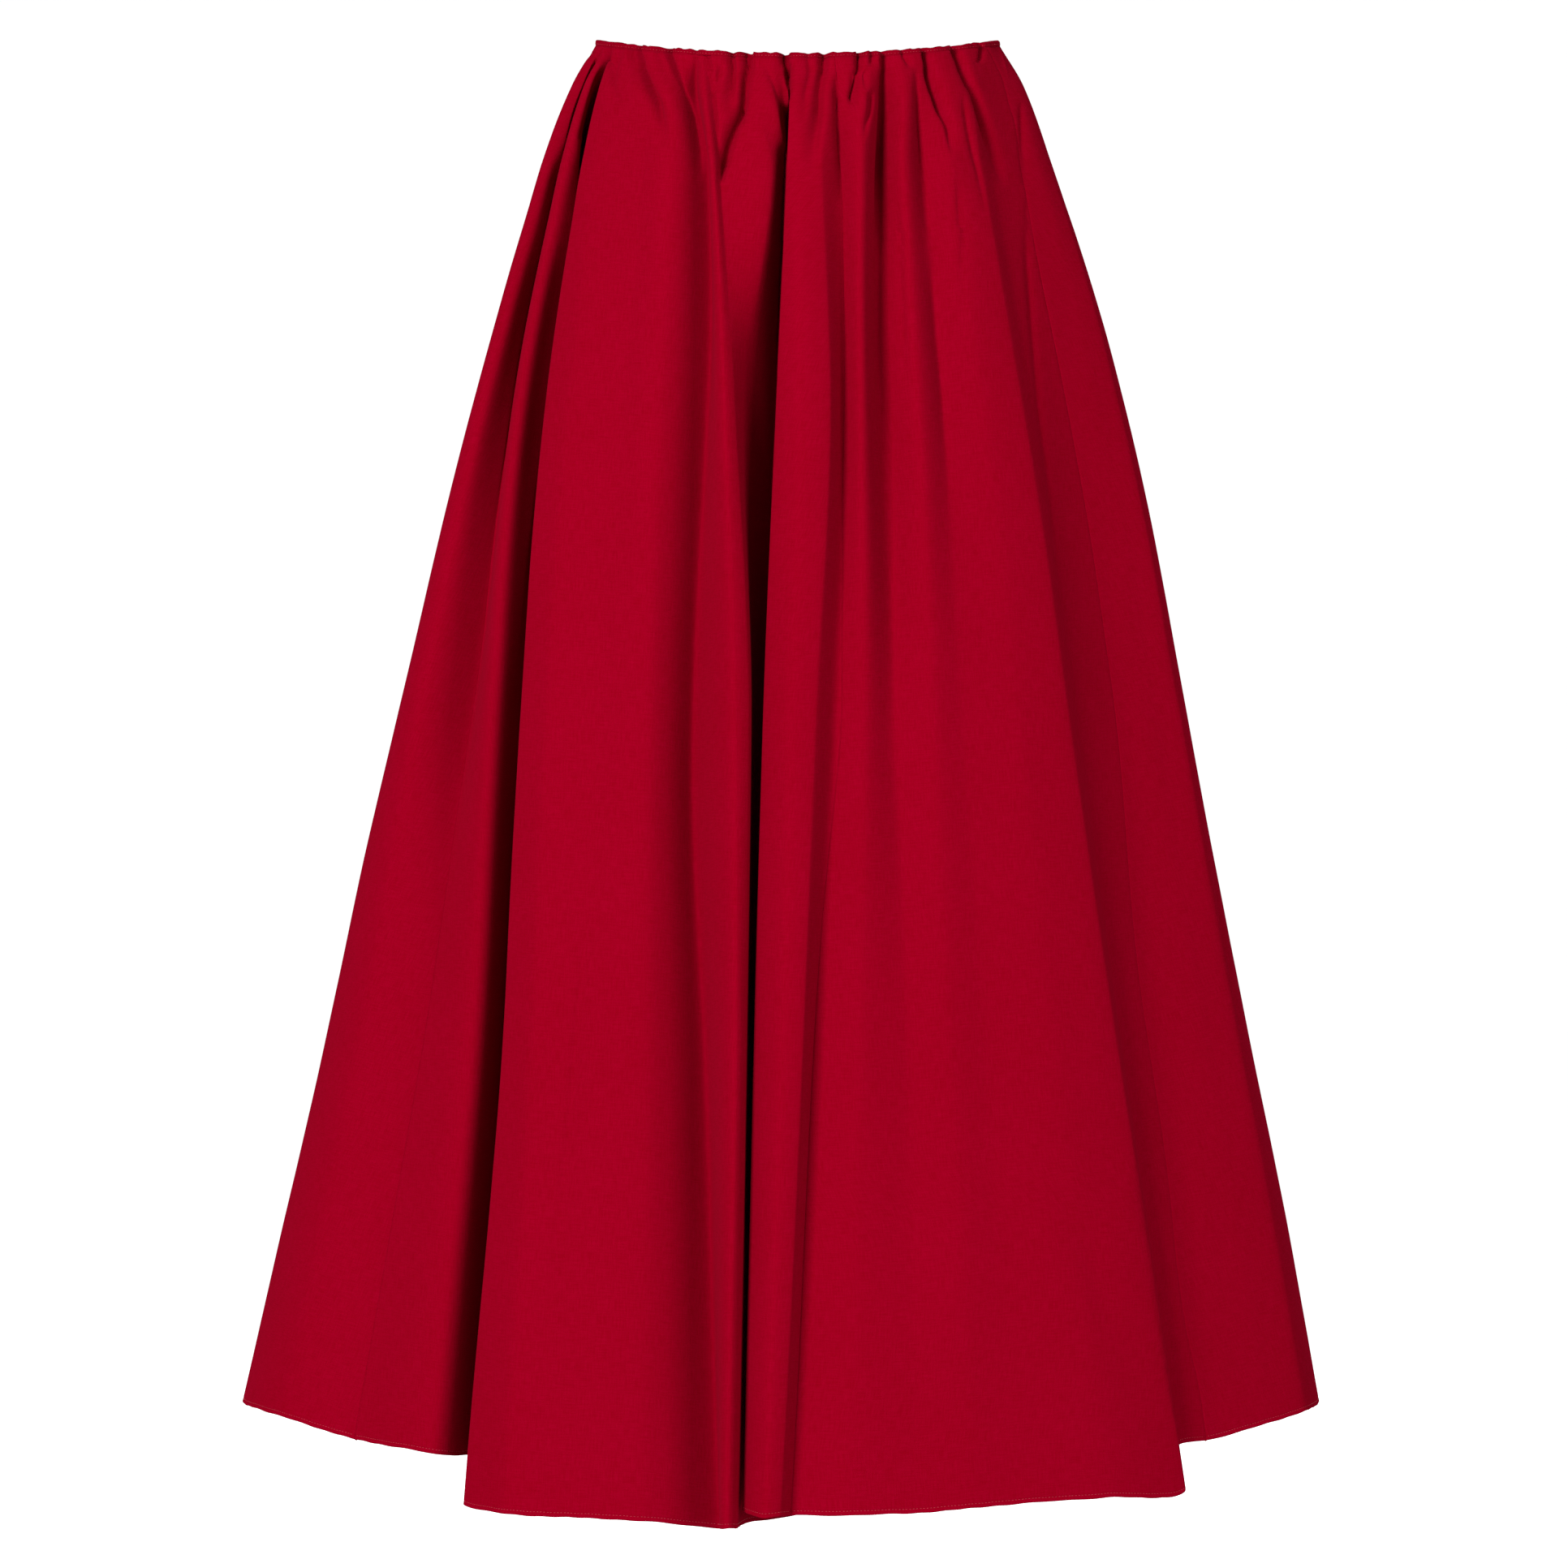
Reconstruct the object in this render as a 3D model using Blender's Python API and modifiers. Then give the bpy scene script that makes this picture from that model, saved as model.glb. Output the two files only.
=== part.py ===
"""A-line skirt, midi length, gathered into a narrow waist casing and standing out as if worn.

Metres, +Z up, the front facing -Y, with the origin at the middle of the waist.
Four panels are joined by a front, a back and two side seams and hang in deep folds from the gathers.
"""

from collections import namedtuple

import bpy
import numpy as np

MM = 0.001
WALL = 1.1 * MM
SEAM_GAP = 0.4 * MM
SEAM_DIP = 0.5 * MM

# The across and length columns are what an eye sees that stands this far in front of the waist.
EYE_DISTANCE = 3.5
EYE_ACROSS = -8.5 * MM
EYE_HEIGHT = -450 * MM

# The top edge, above the origin: its front middle, how much it rises to the sides, and its back.
EDGE_FRONT = 0.5 * MM
EDGE_RISE = 7.5 * MM
EDGE_BACK = 7.5 * MM

# Heights down the skirt, as shares of its length, at which the columns of the fold table stand.
WAIST, HIP, THIGH, KNEE, CALF, HEM = 0.0, 0.085, 0.22, 0.46, 0.7, 1.0

# Even oval sections, before any fold, in millimetres from the waist's middle.
Section = namedtuple("Section", "height left right front back")
SECTIONS = [
    Section(0.00, 123, 123, 95, 95),
    Section(0.03, 137, 138, 107, 110),
    Section(0.085, 155, 155, 121, 128),
    Section(0.14, 169, 171, 130, 141),
    Section(0.22, 188, 191, 141, 154),
    Section(0.34, 215, 215, 155, 169),
    Section(0.46, 239, 234, 168, 182),
    Section(0.60, 267, 256, 183, 197),
    Section(0.74, 292, 279, 198, 211),
    Section(0.87, 317, 301, 211, 225),
    Section(1.00, 342, 321, 224, 238),
]

# One row for each line along which the cloth turns, in order round the skirt.
# across: percent of the half width. out: millimetres in front of the even oval.
# length: millimetres down to the hem as seen. bend: 1 is a round turn, 0 a sharp one.
Fold = namedtuple(
    "Fold",
    "name across_waist across_hip across_thigh across_knee across_calf across_hem"
    " out_hip out_thigh out_knee out_calf out_hem length bend",
)
FRONT_FOLDS = [
    Fold("left_outline", -100, -100, -100, -100, -100, -100, 0, 0, 0, 0, 0, 830, 0.9),
    Fold("left_side", -98.5, -98, -97.5, -95.5, -94, -93.5, 3, 5, 8, 6, 5, 839, 1),
    Fold("left_seam", -96.5, -94, -91.2, -82.6, -80, -80, -22, -36, -42, -22, -18, 853.5, 0.9),
    Fold("left_ridge", -95, -91.8, -88.4, -77.8, -69.6, -65.5, 2, -2, -8, -12, -14, 862.5, 0.5),
    Fold("left_pocket", -92.6, -85.8, -79.2, -67.5, -60.5, -54, -28, -54, -70, -84, -86, 868, 0.4),
    Fold("left_edge", -90.6, -86.9, -81.4, -71.2, -64, -60.2, 4, 4, -1, -6, -10, 894, 0.5),
    Fold("left_band", -86, -80.6, -73.5, -64.8, -58, -53, 5, 8, 9, 9, 9, 899.5, 0.7),
    Fold("left_crease", -72, -62, -56.7, -51.8, -49.3, -49, 2, 3, 5, 7, 8, 900.5, 0.6),
    Fold("left_flat", -60, -49.9, -44.7, -38.2, -32.6, -28.2, 3, 3, 2, 0, -2, 904, 1),
    Fold("left_trough", -52, -35.5, -29, -27, -20, -14.2, -16, -21, -26, -30, -28, 908.5, 0.45),
    Fold("centre_ridge", -46.7, -33.5, -24.6, -16.4, -13.6, -12.8, 7, 11, 12, 12, 11, 908.5, 0.7),
    Fold("centre_lip", -42, -31, -21.4, -12.6, -11.4, -10.9, 2, 6, 6, 4, 2, 908.5, 0.5),
    Fold("recess_floor", -31, -13, -15.8, -11.6, -10.8, -10.3, -3, -14, -26, -22, -18, 907, 0.5),
    Fold("recess_drop", -17, -6.5, -8.4, -9.9, -9.7, -9.2, -14, -32, -48, -42, -32, 905, 0.6),
    Fold("recess_pocket", -9, -1.2, 2, 0.4, 0.6, 1, -26, -52, -66, -64, -60, 898, 0.7),
    Fold("right_edge", -3, -4.4, -6.5, -8.9, -9.6, -9.9, 3, 2, -3, -6, -8, 898, 0.55),
    Fold("right_column", 2.8, 0.6, 0.5, -1.7, -3.7, -6, 6, 12, 13, 13, 12, 902, 0.8),
    Fold("column_side", 11, 9.4, 10.2, 4.7, 0.9, -3.2, 5, 9, 11, 10, 8, 901, 0.5),
    Fold("front_seam", 20.3, 17.4, 14.9, 9.8, 3.3, -1.3, -5, -6, -4, -5, -4, 900.5, 0.45),
    Fold("right_ridge", 32.1, 24.9, 20.2, 17.5, 14.2, 9.7, 6, 7, 3, 1, 0, 900.5, 0.8),
    Fold("right_trough", 42.3, 33.3, 26.4, 25.9, 24.8, 22.9, -13, -14, -7, -4, -1, 899, 0.6),
    Fold("right_rise", 50.8, 41.7, 38, 35.7, 34.7, 33.8, 4, 4, 2, 1, 0, 896, 0.8),
    Fold("right_groove", 59.8, 49.4, 45.9, 43.2, 42.4, 41.6, -4, -4, 0, 0, 0, 893.5, 0.7),
    Fold("right_flat", 72, 61, 58.2, 58.2, 58.6, 59.5, 3, 3, 5, 6, 6, 889.5, 0.8),
    Fold("right_fold", 80.9, 72.5, 69.8, 70.8, 72.4, 74.4, 3, 5, 7, 8, 6, 886, 0.45),
    Fold("right_pocket", 86, 76, 73, 72.8, 72.8, 73, -4, -5, -6, -8, -10, 858, 0.7),
    Fold("right_seam", 94, 88, 83, 82.5, 78.4, 78.5, -6, -10, -14, -14, -12, 854.5, 0.5),
    Fold("right_side", 98, 95.5, 93.5, 92.5, 91.5, 91, 3, 2, 0, 2, 4, 843, 0.8),
    Fold("right_corner", 99, 98.6, 98.5, 98.5, 98, 97.5, 10, 18, 24, 26, 28, 836, 0.5),
]
BACK_FOLDS = [
    Fold("right_outline", 100, 100, 100, 100, 100, 100, 0, 0, 0, 0, 0, 829.5, 0.9),
    Fold("right_trough_behind", 99, 98, 97.3, 96.5, 96.2, 96, -2, -5, -9, -11, -13, 826, 0.7),
    Fold("back_right_side", 96.5, 94.2, 93, 91.8, 91.2, 90.6, 2, 5, 7, 8, 9, 828, 0.8),
    Fold("back_right_valley", 91, 85.5, 81.5, 76, 73.9, 72, -9, -20, -32, -37, -42, 823, 0.7),
    Fold("back_right_edge", 86, 82.5, 80, 77, 76, 75, 4, 5, 4, 4, 4, 826, 0.6),
    Fold("back_right_band", 76, 71, 68, 65, 64, 63, 3, 6, 8, 9, 10, 824, 0.8),
    Fold("back_right_trough", 62, 56, 52, 48, 46.5, 45, -7, -9, -9, -8, -7, 821, 0.7),
    Fold("back_right_ridge", 50, 44, 40, 36, 34.5, 33, 5, 8, 10, 11, 11, 820, 0.8),
    Fold("back_right_lip", 41, 34, 29, 25, 23.5, 22, 0, 0, -3, -4, -5, 819, 0.5),
    Fold("back_recess", 35, 30, 27.5, 27, 26.8, 26.5, -14, -34, -48, -51, -54, 815, 0.7),
    Fold("back_centre_edge", 28, 23, 19, 16.5, 15.5, 14.5, 2, 2, -1, -2, -3, 818, 0.6),
    Fold("back_centre_band", 16, 13, 10.5, 8, 7, 6, 4, 7, 9, 10, 10, 818, 0.8),
    Fold("back_seam", 0, 0, 0, -1, -1.5, -2, -4, -4, -2, -1, -1, 817, 0.6),
    Fold("back_left_ridge", -14, -15, -16, -17.5, -18.2, -19, 5, 7, 7, 7, 6, 817, 0.8),
    Fold("back_left_trough", -28, -29, -30, -31, -31.5, -32, -8, -12, -15, -16, -18, 816, 0.6),
    Fold("back_left_round", -40, -41, -42, -43, -43.5, -44, 5, 8, 10, 11, 12, 819, 0.8),
    Fold("back_left_flat", -58, -57, -56, -55, -55.3, -56, 1, 2, 4, 5, 6, 821, 0.8),
    Fold("back_left_edge", -74, -70, -67, -65, -65.3, -66, 3, 4, 5, 5, 6, 824, 0.6),
    Fold("back_left_pocket", -82, -76, -71, -67, -65.2, -63.5, -10, -24, -38, -42, -46, 822, 0.7),
    Fold("back_left_side", -92, -89, -87, -84.5, -83.7, -83, 2, 6, 8, 9, 10, 826, 0.8),
    Fold("left_trough_behind", -98, -96.5, -95.4, -94.6, -94.3, -94, -3, -6, -9, -10, -12, 825, 0.7),
]
FOLDS = FRONT_FOLDS + BACK_FOLDS
IS_FRONT = np.arange(len(FOLDS)) < len(FRONT_FOLDS)

# Gathers of the front, all starting at the waist: percent across at half their length, the share
# of the skirt's length at which each ends, and how many millimetres deep it draws the cloth in.
Gather = namedtuple("Gather", "across end depth")
FRONT_GATHERS = [
    Gather(-83, 0.04, 4.0),
    Gather(-74, 0.06, 4.5),
    Gather(-66, 0.10, 5.5),
    Gather(-58, 0.025, 3.5),
    Gather(-50, 0.14, 6.0),
    Gather(-44, 0.05, 3.5),
    Gather(-38, 0.045, 4.5),
    Gather(-31, 0.06, 5.0),
    Gather(-24, 0.10, 6.0),
    Gather(-18, 0.03, 3.5),
    Gather(-10, 0.055, 4.5),
    Gather(4, 0.035, 3.5),
    Gather(11, 0.10, 5.5),
    Gather(20, 0.03, 4.0),
    Gather(27, 0.055, 5.5),
    Gather(33, 0.07, 4.0),
    Gather(40, 0.10, 5.5),
    Gather(47, 0.03, 3.5),
    Gather(54, 0.085, 5.5),
    Gather(61, 0.04, 4.0),
    Gather(66, 0.08, 6.0),
    Gather(74, 0.10, 4.0),
    Gather(80, 0.12, 6.0),
    Gather(88, 0.04, 4.5),
    Gather(95, 0.06, 3.5),
]
BACK_GATHER_COUNT = 28
# Between its gathers the cloth stands out by this much, down to this share of its length.
PUFF = 1.5 * MM
PUFF_END = 0.12

# Mesh rows down the length, close together where the gathers are.
ROW_HEIGHTS = [0, 0.012, 0.028, 0.052, 0.088, 0.14, 0.22, 0.35, 0.53, 0.76, 1.0]
# The widest that a mesh column may be at the hips and at the hem.
HIP_COLUMN = 3.9 * MM
HEM_COLUMN = 15 * MM

CASING_HEIGHT = 3.6 * MM
CASING_LEAF = 18 * MM
CASING_WALL = 1.2 * MM
CASING_INSET = 6.6 * MM
FIT_GAP = 0.3 * MM


def slopes(at, values):
    """Slopes that keep a curve through the values from overshooting them."""
    steps = np.diff(at)[:, None]
    rates = np.diff(values, axis=0) / steps
    inner = 2 * rates[:-1] * rates[1:] / np.where(rates[:-1] + rates[1:] == 0, 1, rates[:-1] + rates[1:])
    inner = np.where(rates[:-1] * rates[1:] > 0, inner, 0)
    return np.vstack([rates[:1], inner, rates[-1:]])


def curve_through(at, values, x):
    """The value at x of a smooth curve through the columns of values."""
    at = np.asarray(at, float)
    values = np.asarray(values, float).reshape(len(at), -1)
    tangents = slopes(at, values)
    i = min(max(int(np.searchsorted(at, x, side="right")) - 1, 0), len(at) - 2)
    width = at[i + 1] - at[i]
    s = (x - at[i]) / width
    return (
        values[i] * (1 + 2 * s) * (1 - s) ** 2
        + tangents[i] * width * s * (1 - s) ** 2
        + values[i + 1] * s * s * (3 - 2 * s)
        + tangents[i + 1] * width * s * s * (s - 1)
    )


def half_sizes(height):
    """Left, right, front and back half sizes of the even oval at a height, in metres."""
    table = [[s.left, s.right, s.front, s.back] for s in SECTIONS]
    return curve_through([s.height for s in SECTIONS], table, height) * MM


def from_eye(seen, eye, depth):
    """The real place of a point seen at this place, from how far in front of the waist it lies."""
    return eye + (seen - eye) * (EYE_DISTANCE + depth) / EYE_DISTANCE


def fold_column(name):
    """One column of the fold table."""
    return np.array([getattr(f, name) for f in FOLDS], float)


def depths(across, out, height):
    """How far behind the waist's middle points lie at a height, from their shares across."""
    _, _, front, back = half_sizes(height)
    oval = np.sqrt(np.clip(1 - across**2, 0, 1))
    return np.where(IS_FRONT, -front * oval - out, back * oval + out)


def fold_points(height):
    """Where each fold line passes this height, as rows of x, y and z."""
    stations = [WAIST, HIP, THIGH, KNEE, CALF, HEM]
    below = ("hip", "thigh", "knee", "calf", "hem")
    shares = [fold_column("across_" + at) / 100 for at in ("waist", *below)]
    outs = [0 * shares[0]] + [fold_column("out_" + at) * MM for at in below]
    across = curve_through(stations, shares, height)
    depth = depths(across, curve_through(stations, outs, height), height)
    left, right, _, _ = half_sizes(height)
    x = from_eye(across * np.where(across < 0, left, right), EYE_ACROSS, depth)
    edge = from_eye(EDGE_FRONT + EDGE_RISE * shares[0] ** 2, EYE_HEIGHT, depths(shares[0], outs[0], WAIST))
    top = np.where(IS_FRONT, edge, EDGE_BACK)
    hem = from_eye(-fold_column("length") * MM, EYE_HEIGHT, depths(shares[-1], outs[-1], HEM))
    return np.stack([x, depth, top + (hem - top) * height], axis=1)


def turn_directions(points):
    """At each point of a closed loop, the unit direction halfway between the chords that meet there."""
    ahead = np.roll(points, -1, axis=0) - points
    ahead /= np.linalg.norm(ahead, axis=1)[:, None]
    both = ahead + np.roll(ahead, 1, axis=0)
    return both / np.linalg.norm(both, axis=1)[:, None]


def column_counts():
    """How many mesh columns each stretch between two fold lines gets."""
    counts = 0
    for height, width in ((HIP, HIP_COLUMN), (HEM, HEM_COLUMN)):
        points = fold_points(height)
        chords = np.linalg.norm(np.roll(points, -1, axis=0) - points, axis=1)
        counts = np.maximum(counts, np.rint(chords / width))
    return np.maximum(counts, 2).astype(int)


def ring(height, counts):
    """One closed row of the cloth's outer face at a height, with counts columns in each stretch."""
    points = fold_points(height)
    turns = turn_directions(points)
    bends = np.array([f.bend for f in FOLDS])
    rows = []
    for i, count in enumerate(counts):
        j = (i + 1) % len(points)
        length = np.linalg.norm(points[j] - points[i])
        # Columns stand closer to the fold lines, where the cloth turns most.
        even = np.arange(count) / count
        s = (0.65 * even + 0.35 * (1 - np.cos(np.pi * even)) / 2)[:, None]
        rows.append(
            points[i] * (1 + 2 * s) * (1 - s) ** 2
            + turns[i] * bends[i] * length * s * (1 - s) ** 2
            + points[j] * s * s * (3 - 2 * s)
            + turns[j] * bends[j] * length * s * s * (s - 1)
        )
    return np.vstack(rows)


def outward(row):
    """Level unit directions out of a closed row."""
    along = np.roll(row, -1, axis=0) - np.roll(row, 1, axis=0)
    normal = np.stack([along[:, 1], -along[:, 0], 0 * along[:, 0]], axis=1)
    return normal / np.linalg.norm(normal, axis=1)[:, None]


def back_gathers():
    """Gathers of the back, as uneven in place, length and depth as those of the front."""
    made = []
    for k in range(BACK_GATHER_COUNT):
        bearing = np.pi * ((k + 0.5 + 0.25 * np.sin(2.4 * k)) / BACK_GATHER_COUNT - 0.5)
        end = 0.065 + 0.04 * np.sin(3.1 * k + 1)
        made.append(Gather(100 * np.sin(bearing), end, 4.8 + 1.2 * np.sin(1.7 * k)))
    return made


def gather_relief(counts, seams):
    """How far the gathers move each point of the cloth out, for each mesh row and column, in metres."""
    front = np.repeat(IS_FRONT, counts)
    heights = np.array(ROW_HEIGHTS)
    drawn_in = np.zeros((len(heights), counts.sum()))
    for gathers, side in ((FRONT_GATHERS, front), (back_gathers(), ~front)):
        for g in gathers:
            left, right, _, _ = half_sizes(g.end / 2)
            across = ring(g.end / 2, counts)[:, 0] * 200 / (left + right)
            column = int(np.argmin(np.where(side, np.abs(across - g.across), np.inf)))
            if min(abs(column - seam) for seam in seams) < 2:
                continue
            depth = g.depth * MM * np.clip(1 - (heights / g.end) ** 2, 0, 1)
            for beside, share in ((-1, 0.2), (0, 1), (1, 0.2)):
                at = (column + beside) % counts.sum()
                drawn_in[:, at] = np.maximum(drawn_in[:, at], depth * share)
    for seam in seams:
        drawn_in[:, seam] += SEAM_DIP
    return PUFF * np.clip(1 - heights / PUFF_END, 0, 1)[:, None] - drawn_in


def cloth_rows(counts, relief):
    """The whole cloth's outer face, a closed row of points for each mesh row."""
    rows = []
    for height, moved in zip(ROW_HEIGHTS, relief):
        row = ring(height, counts)
        away = row * [1, 1, 0]
        rows.append(row + away / np.linalg.norm(away, axis=1)[:, None] * moved[:, None])
    return np.array(rows)


def material(name, colour, roughness):
    made = bpy.data.materials.new(name)
    made.use_nodes = True
    shader = made.node_tree.nodes["Principled BSDF"]
    shader.inputs["Base Color"].default_value = (*colour, 1)
    shader.inputs["Roughness"].default_value = roughness
    shader.inputs["Metallic"].default_value = 0
    return made


def add_mesh(name, points, faces, finish, collection):
    mesh = bpy.data.meshes.new(name)
    mesh.from_pydata([tuple(p) for p in points], [], faces)
    mesh.materials.append(finish)
    mesh.shade_smooth()
    made = bpy.data.objects.new(name, mesh)
    collection.objects.link(made)
    return made


def panel(name, rows, first, last, finish, collection):
    """A piece of the cloth between two seams, given by the columns where they run, with its wall."""
    around = rows.shape[1]
    columns = np.arange(first, last + 1 if last > first else last + around + 1) % around
    piece = rows[:, columns].copy()
    for edge, inner in ((0, 1), (-1, -2)):
        inward = piece[:, inner] - piece[:, edge]
        inward /= np.linalg.norm(inward, axis=1)[:, None]
        piece[:, edge] += inward * SEAM_GAP / 2
    high, wide = piece.shape[:2]
    faces = []
    for r in range(high - 1):
        for c in range(wide - 1):
            a = r * wide + c
            faces.append((a, a + wide, a + wide + 1, a + 1))
    made = add_mesh(name, piece.reshape(-1, 3), faces, finish, collection)
    wall = made.modifiers.new("wall", "SOLIDIFY")
    wall.thickness = WALL
    wall.offset = -1
    return made


def waist_casing(gathered, smooth, finish, collection):
    """The narrow casing above the panels: a ruched rim outside and a plain leaf inside."""
    inside = smooth - outward(smooth) * CASING_INSET
    up = np.array([0, 0, 1.0])
    rim_low = gathered + up * FIT_GAP
    rim_high = gathered * 0.9 + inside * 0.1 + up * CASING_HEIGHT
    leaf_high = inside - outward(smooth) * CASING_WALL + up * (CASING_HEIGHT - 1.2 * MM)
    leaf_low = inside - outward(smooth) * CASING_WALL - up * CASING_LEAF
    leaf_foot = inside - up * CASING_LEAF
    leaf_root = inside + up * FIT_GAP
    profile = [rim_low, rim_high, leaf_high, leaf_low, leaf_foot, leaf_root]
    around = len(gathered)
    points = np.array(profile).reshape(-1, 3)
    faces = []
    for p in range(len(profile)):
        q = (p + 1) % len(profile)
        for c in range(around):
            d = (c + 1) % around
            faces.append((p * around + c, p * around + d, q * around + d, q * around + c))
    return add_mesh("waist_casing", points, faces, finish, collection)


def main():
    for old in list(bpy.data.objects):
        bpy.data.objects.remove(old)
    collection = bpy.data.collections.new("a_line_skirt")
    bpy.context.scene.collection.children.link(collection)
    cloth = material("red_faille", (0.36, 0.002, 0.012), 0.75)
    binding = material("red_casing", (0.33, 0.002, 0.011), 0.8)

    counts = column_counts()
    starts = np.concatenate([[0], np.cumsum(counts)])
    seam = {f.name: int(starts[i]) for i, f in enumerate(FOLDS) if f.name.endswith("seam")}
    rows = cloth_rows(counts, gather_relief(counts, seam.values()))
    for name, first, last in (
        ("front_left_panel", "left_seam", "front_seam"),
        ("front_right_panel", "front_seam", "right_seam"),
        ("back_right_panel", "right_seam", "back_seam"),
        ("back_left_panel", "back_seam", "left_seam"),
    ):
        panel(name, rows, seam[first], seam[last], cloth, collection)
    waist_casing(rows[0], ring(WAIST, counts), binding, collection)


main()
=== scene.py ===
# A crimson midi skirt, gathered into a narrow ruched casing at the waist and filled out as if worn
import math

import bmesh
import bpy
import numpy as np
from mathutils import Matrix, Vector, noise


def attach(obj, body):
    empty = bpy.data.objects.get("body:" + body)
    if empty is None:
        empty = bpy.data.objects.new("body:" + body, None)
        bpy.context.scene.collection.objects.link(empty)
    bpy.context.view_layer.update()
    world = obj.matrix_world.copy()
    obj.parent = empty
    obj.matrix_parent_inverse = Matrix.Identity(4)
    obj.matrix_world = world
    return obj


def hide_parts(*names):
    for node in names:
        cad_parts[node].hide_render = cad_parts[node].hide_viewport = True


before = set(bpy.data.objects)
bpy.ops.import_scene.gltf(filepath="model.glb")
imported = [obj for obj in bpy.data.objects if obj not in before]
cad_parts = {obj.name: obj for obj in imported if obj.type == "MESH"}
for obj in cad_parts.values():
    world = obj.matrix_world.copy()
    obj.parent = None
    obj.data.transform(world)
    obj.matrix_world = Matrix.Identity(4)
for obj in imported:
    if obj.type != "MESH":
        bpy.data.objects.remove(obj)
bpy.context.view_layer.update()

bpy.ops.object.select_all(action="DESELECT")
scene = bpy.context.scene
mm = 0.001


# The camera stands where the picture was taken from
view = {
    "distance": 3.5,          # in front of the waist
    "across": -8.5 * mm,
    "height": -450 * mm,
    "frame": 966 * mm,        # how much shows at the waist's middle
    "sensor": 36.0,
}


def placeCamera():
    lens = view["sensor"] * view["distance"] / view["frame"]
    spot = (view["across"], -view["distance"], view["height"])
    bpy.ops.object.camera_add(location=spot, rotation=(math.radians(90), 0, 0))
    camera = bpy.context.object
    camera.name = "photoCamera"
    camera.data.sensor_width = view["sensor"]
    camera.data.lens = lens
    camera.data.clip_end = 60
    scene.camera = camera


placeCamera()
print("camera placed")


# The cut and the fall of the cloth, in millimetres and percent, from the same sizes as the solids
cloth = {
    "wall": 0.45 * mm,
    "columnAtHip": 1.34 * mm,       # widest spacing of the mesh at the hips
    "columnAtHem": 3.3 * mm,        # and at the hem
    "columnEase": 0.35,             # how much closer they stand at the fold lines
    "seamGap": 0.015 * mm,          # between two panels at a seam
    "seamSink": 0.35 * mm,          # how far the cloth dips at a seam
    "seamWidth": 1.3 * mm,
    "seamTucks": ((0.7, 0.0), (1.15, 1.0)),     # how far in and to one side the edges turn, in mm
    "puff": 1.5 * mm,               # the cloth stands out between the gathers
    "puffEnd": 0.12,                # the share of the length where that ends
    "unevenness": 0.45 * mm,        # slow bumps of the hanging cloth
    "columnStep": 0.12 * mm,        # least spacing of the columns in a gather
    "edgeFront": -2.5 * mm,         # the gathered edge at the front's middle, as seen
    "edgeRise": 7.5 * mm,           # how much higher it is at the sides
    "edgeBack": 4.5 * mm,           # its height along the back
    "length": 907 * mm,             # front length as seen, for the marks' heights
}

stations = [0.0, 0.085, 0.22, 0.46, 0.7, 1.0]      # waist, hip, thigh, knee, calf and hem
# For the depths of the folds, with one more just below the casing, and how far a fold is open there
# as a share of its depth at the hips
outStations = [0.0, 0.03, 0.085, 0.22, 0.46, 0.7, 1.0]
opening = {
    "usual": 0.62,
    "leftSeam": 0.75,
    "leftPocket": 0.4,
    "recessFloor": 0.1,
    "recessDrop": 0.1,
    "recessPocket": 0.3,
}

# Share of the length: left, right, front and back half sizes of the even oval
sections = {
    0.00: (123, 123, 95, 95),
    0.03: (137, 138, 107, 110),
    0.085: (155, 155, 121, 128),
    0.14: (169, 171, 130, 141),
    0.22: (188, 191, 141, 154),
    0.34: (215, 215, 155, 169),
    0.46: (239, 234, 168, 182),
    0.60: (267, 256, 183, 197),
    0.74: (292, 279, 198, 211),
    0.87: (317, 301, 211, 225),
    1.00: (342, 321, 224, 238),
}

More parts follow.
